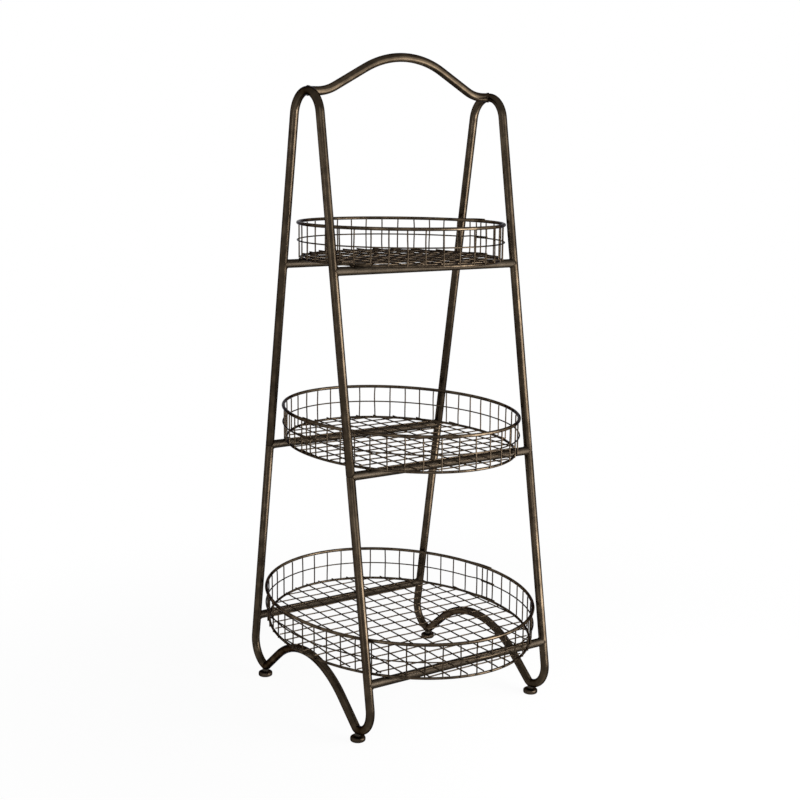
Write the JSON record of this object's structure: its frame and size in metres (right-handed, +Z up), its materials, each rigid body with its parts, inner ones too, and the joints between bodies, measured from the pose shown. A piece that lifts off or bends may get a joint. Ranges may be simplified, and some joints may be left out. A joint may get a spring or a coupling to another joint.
{
  "type": "etagere",
  "caption": "Free-standing etagere of bronzed steel tube with splayed side frames, oval wire-mesh basket shelves on crossbars, an arched carrying handle and levelling feet.",
  "frame": {"origin": "on the floor, midway between the four feet", "axes": "+Z up along the height; +X from the left side frame to the right one, along the crossbars; -Y to the front, where the nearer legs stand"},
  "size_m": [0.3858, 0.4771, 0.96],
  "materials": {
    "bronzed_tube": "satin, rubbed dark bronze with lighter brown along the tube",
    "bronzed_wire": "satin, rubbed dark bronze",
    "plated_steel": "zinc plated, satin",
    "pad": "matte black"
  },
  "bodies": {
    "stand": {"handle": "bronzed_tube", "hoop_left": "bronzed_tube", "base_frame_left": "bronzed_tube", "hoop_right": "bronzed_tube", "base_frame_right": "bronzed_tube", "spigot_front_left": "plated_steel", "sleeve_front_left": "plated_steel", "spigot_front_right": "plated_steel", "sleeve_front_right": "plated_steel", "spigot_rear_left": "plated_steel", "sleeve_rear_left": "plated_steel", "spigot_rear_right": "plated_steel", "sleeve_rear_right": "plated_steel", "crossbar_bottom_front": "bronzed_tube", "crossbar_bottom_rear": "bronzed_tube", "basket_bottom_rim": "bronzed_wire", "basket_bottom_base_ring": "bronzed_wire", "basket_bottom_strand": "bronzed_wire", "basket_bottom_uprights": "bronzed_wire", "basket_bottom_floor_long": "bronzed_wire", "basket_bottom_floor_cross": "bronzed_wire", "crossbar_middle_front": "bronzed_tube", "crossbar_middle_rear": "bronzed_tube", "basket_middle_rim": "bronzed_wire", "basket_middle_base_ring": "bronzed_wire", "basket_middle_strand": "bronzed_wire", "basket_middle_uprights": "bronzed_wire", "basket_middle_floor_long": "bronzed_wire", "basket_middle_floor_cross": "bronzed_wire", "crossbar_top_front": "bronzed_tube", "crossbar_top_rear": "bronzed_tube", "basket_top_rim": "bronzed_wire", "basket_top_base_ring": "bronzed_wire", "basket_top_strand": "bronzed_wire", "basket_top_uprights": "bronzed_wire", "basket_top_floor_long": "bronzed_wire", "basket_top_floor_cross": "bronzed_wire"},
    "glide_front_left": {"pad_front_left": "pad", "stud_front_left": "plated_steel"},
    "glide_front_right": {"pad_front_right": "pad", "stud_front_right": "plated_steel"},
    "glide_rear_left": {"pad_rear_left": "pad", "stud_rear_left": "plated_steel"},
    "glide_rear_right": {"pad_rear_right": "pad", "stud_rear_right": "plated_steel"}
  },
  "joints": [
    {"name": "glide_front_left_screw_out", "type": "slide", "parent": "stand", "child": "glide_front_left", "axis": [0, 0, -1], "range_m": [0, 0.004]},
    {"name": "glide_front_right_screw_out", "type": "slide", "parent": "stand", "child": "glide_front_right", "axis": [0, 0, -1], "range_m": [0, 0.004]},
    {"name": "glide_rear_left_screw_out", "type": "slide", "parent": "stand", "child": "glide_rear_left", "axis": [0, 0, -1], "range_m": [0, 0.004]},
    {"name": "glide_rear_right_screw_out", "type": "slide", "parent": "stand", "child": "glide_rear_right", "axis": [0, 0, -1], "range_m": [0, 0.004]}
  ]
}
